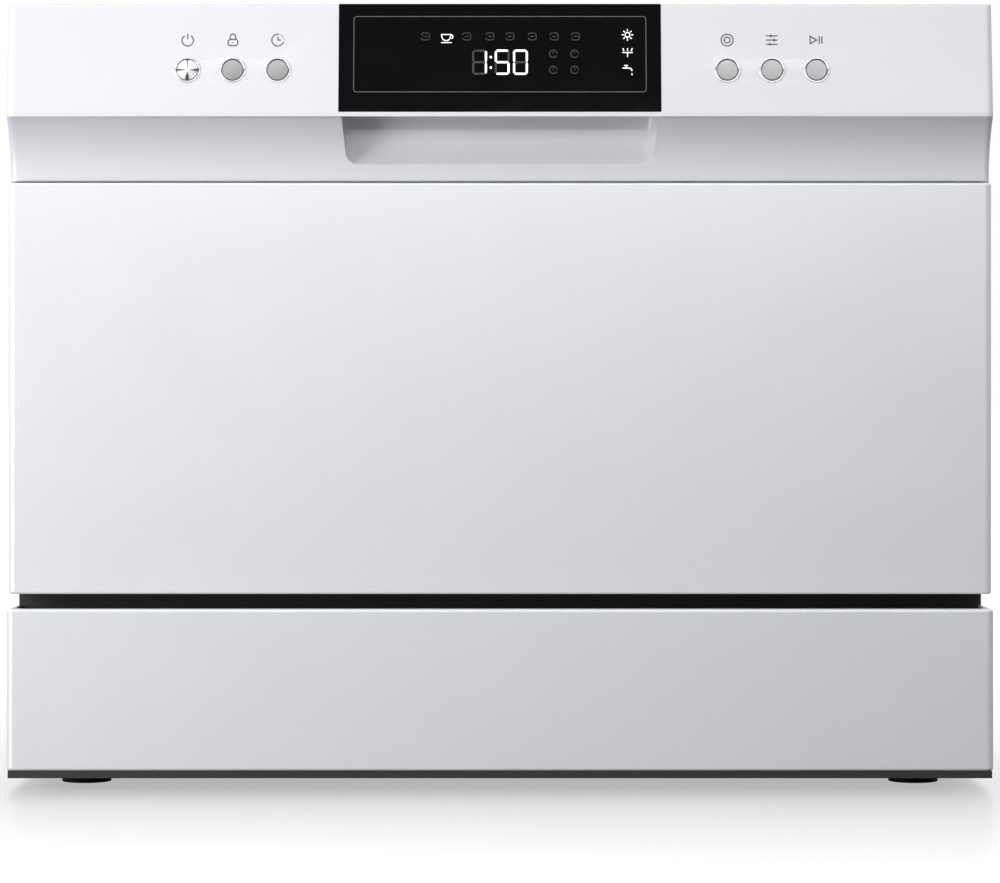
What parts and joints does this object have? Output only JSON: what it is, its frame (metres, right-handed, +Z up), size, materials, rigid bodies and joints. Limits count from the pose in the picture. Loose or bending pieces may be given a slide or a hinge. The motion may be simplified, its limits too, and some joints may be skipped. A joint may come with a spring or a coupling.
{
  "type": "countertop dishwasher",
  "caption": "Compact worktop dishwasher with a drop-down door, pocket handle, black display and a sliding wire rack.",
  "frame": {"origin": "on the table, under the middle of the machine", "axes": "+X to the right seen from the front, +Y from the front to the back, +Z up"},
  "size_m": [0.55, 0.5, 0.438],
  "materials": {
    "white_paint": "satin white-silver paint on sheet steel",
    "white_moulding": "satin white moulding",
    "grey_moulding": "grey moulding",
    "black_moulding": "black moulding",
    "black_gloss": "black gloss lens",
    "clear_blue": "blue dosing cap",
    "stainless": "brushed stainless sheet",
    "zinc": "zinc-plated steel",
    "chrome": "polished ring",
    "silver_cap": "satin aluminium",
    "seal_rubber": "dark grey rubber",
    "foot_rubber": "black rubber",
    "felt": "bitumen felt",
    "rack_coating": "grey nylon coating on wire",
    "board": "green circuit board"
  },
  "bodies": {
    "cabinet": {"base_tray": "black_moulding", "feet": "foot_rubber", "front_skirt": "white_paint", "side_panels": "white_paint", "top_cover": "white_paint", "rear_cover": "zinc", "rear_screws": "zinc", "front_frame": "zinc", "tub_wrapper": "stainless", "tub_back": "stainless", "tub_floor": "stainless", "sound_mat": "felt", "door_seals": "seal_rubber", "door_strike": "zinc", "hinge_brackets": "zinc", "balance_springs": "zinc", "roller_pins": "zinc", "sump": "grey_moulding", "filter_plate": "stainless", "spray_post": "grey_moulding", "circulation_pump": "grey_moulding", "flow_heater": "stainless", "pressure_pipes": "seal_rubber", "drain_pump": "black_moulding", "drain_hose": "grey_moulding", "inlet_valve": "white_moulding", "water_hoses": "grey_moulding", "air_break": "white_moulding", "cord_gland": "black_moulding", "float_switch": "white_moulding"},
    "door": {"door_panel": "white_paint", "door_liner": "stainless", "hinge_arms": "zinc", "door_mat": "felt", "control_panel": "white_moulding", "handle_pocket": "white_moulding", "display_lens": "black_gloss", "control_board": "board", "button_rings": "chrome", "door_lock": "white_moulding", "dispenser_body": "grey_moulding"},
    "dispenser_lid": {"dispenser_lid": "grey_moulding"},
    "rinse_cap": {"rinse_cap": "clear_blue"},
    "rails": {"rails": "zinc"},
    "rack": {"dish_rack": "rack_coating", "cutlery_basket": "grey_moulding"},
    "cup_shelf": {"cup_shelf": "rack_coating"},
    "front_tub_rollers": {"front_tub_rollers": "white_moulding"},
    "rear_tub_rollers": {"rear_tub_rollers": "white_moulding"},
    "front_rack_wheels": {"front_rack_wheels": "white_moulding"},
    "rear_rack_wheels": {"rear_rack_wheels": "white_moulding"},
    "spray_arm": {"spray_arm": "grey_moulding"},
    "filter_cylinder": {"filter_cylinder": "grey_moulding"},
    "flood_float": {"flood_float": "white_moulding"},
    "power_button": {"power_button": "silver_cap"},
    "lock_button": {"lock_button": "silver_cap"},
    "delay_button": {"delay_button": "silver_cap"},
    "program_button": {"program_button": "silver_cap"},
    "function_button": {"function_button": "silver_cap"},
    "start_button": {"start_button": "silver_cap"}
  },
  "joints": [
    {"name": "door_hinge", "type": "hinge", "parent": "cabinet", "child": "door", "pos_m": [0, -0.2285, 0.11592], "axis": [1, 0, 0], "range_deg": [0, 90], "deforming": ["balance_springs"]},
    {"name": "rail_slide", "type": "slide", "parent": "cabinet", "child": "rails", "axis": [0, -1, 0], "range_m": [0, 0.08]},
    {"name": "rack_slide", "type": "slide", "parent": "rails", "child": "rack", "axis": [0, -1, 0], "range_m": [0, 0.08]},
    {"name": "front_tub_rollers_turn", "type": "hinge", "parent": "cabinet", "child": "front_tub_rollers", "pos_m": [0, -0.15025, 0.24992], "axis": [1, 0, 0], "range_deg": [0, 436.6]},
    {"name": "rear_tub_rollers_turn", "type": "hinge", "parent": "cabinet", "child": "rear_tub_rollers", "pos_m": [0, 0.05775, 0.24992], "axis": [1, 0, 0], "range_deg": [0, 436.6]},
    {"name": "front_rack_wheels_turn", "type": "hinge", "parent": "rack", "child": "front_rack_wheels", "pos_m": [0, -0.07625, 0.24992], "axis": [1, 0, 0], "range_deg": [0, 436.6]},
    {"name": "rear_rack_wheels_turn", "type": "hinge", "parent": "rack", "child": "rear_rack_wheels", "pos_m": [0, 0.13775, 0.24992], "axis": [1, 0, 0], "range_deg": [0, 436.6]},
    {"name": "cup_shelf_fold", "type": "hinge", "parent": "rack", "child": "cup_shelf", "pos_m": [-0.211, 0.00175, 0.27422], "axis": [0, -1, 0], "range_deg": [0, 90]},
    {"name": "dispenser_lid_slide", "type": "slide", "parent": "door", "child": "dispenser_lid", "axis": [1, 0, 0], "range_m": [0, 0.06]},
    {"name": "rinse_cap_turn", "type": "hinge", "parent": "door", "child": "rinse_cap", "pos_m": [0.036, -0.2135, 0.25292], "axis": [0, 1, 0], "range_deg": [0, 90]},
    {"name": "spray_arm_spin", "type": "hinge", "parent": "cabinet", "child": "spray_arm", "pos_m": [0, 0.00175, 0.13392], "axis": [0, 0, 1], "continuous": true},
    {"name": "filter_twist", "type": "hinge", "parent": "cabinet", "child": "filter_cylinder", "pos_m": [0.085, 0.00175, 0.10092], "axis": [0, 0, 1], "range_deg": [0, 60]},
    {"name": "flood_float_lift", "type": "slide", "parent": "cabinet", "child": "flood_float", "axis": [0, 0, 1], "range_m": [0, 0.008]},
    {"name": "power_button_press", "type": "slide", "parent": "door", "child": "power_button", "axis": [0, 0.9894, -0.1453], "range_m": [0, 0.0008], "stiffness_N_per_m": 600, "springref_m": -0.001},
    {"name": "lock_button_press", "type": "slide", "parent": "door", "child": "lock_button", "axis": [0, 0.9894, -0.1453], "range_m": [0, 0.0008], "stiffness_N_per_m": 600, "springref_m": -0.001},
    {"name": "delay_button_press", "type": "slide", "parent": "door", "child": "delay_button", "axis": [0, 0.9894, -0.1453], "range_m": [0, 0.0008], "stiffness_N_per_m": 600, "springref_m": -0.001},
    {"name": "program_button_press", "type": "slide", "parent": "door", "child": "program_button", "axis": [0, 0.9894, -0.1453], "range_m": [0, 0.0008], "stiffness_N_per_m": 600, "springref_m": -0.001},
    {"name": "function_button_press", "type": "slide", "parent": "door", "child": "function_button", "axis": [0, 0.9894, -0.1453], "range_m": [0, 0.0008], "stiffness_N_per_m": 600, "springref_m": -0.001},
    {"name": "start_button_press", "type": "slide", "parent": "door", "child": "start_button", "axis": [0, 0.9894, -0.1453], "range_m": [0, 0.0008], "stiffness_N_per_m": 600, "springref_m": -0.001}
  ],
  "couplings": [
    {"joint": "rail_slide", "follows": "door_hinge", "m_per_rad": 0.050929},
    {"joint": "rack_slide", "follows": "door_hinge", "m_per_rad": 0.050929},
    {"joint": "front_tub_rollers_turn", "follows": "door_hinge", "ratio": 4.8504},
    {"joint": "rear_tub_rollers_turn", "follows": "door_hinge", "ratio": 4.8504},
    {"joint": "front_rack_wheels_turn", "follows": "door_hinge", "ratio": 4.8504},
    {"joint": "rear_rack_wheels_turn", "follows": "door_hinge", "ratio": 4.8504}
  ]
}
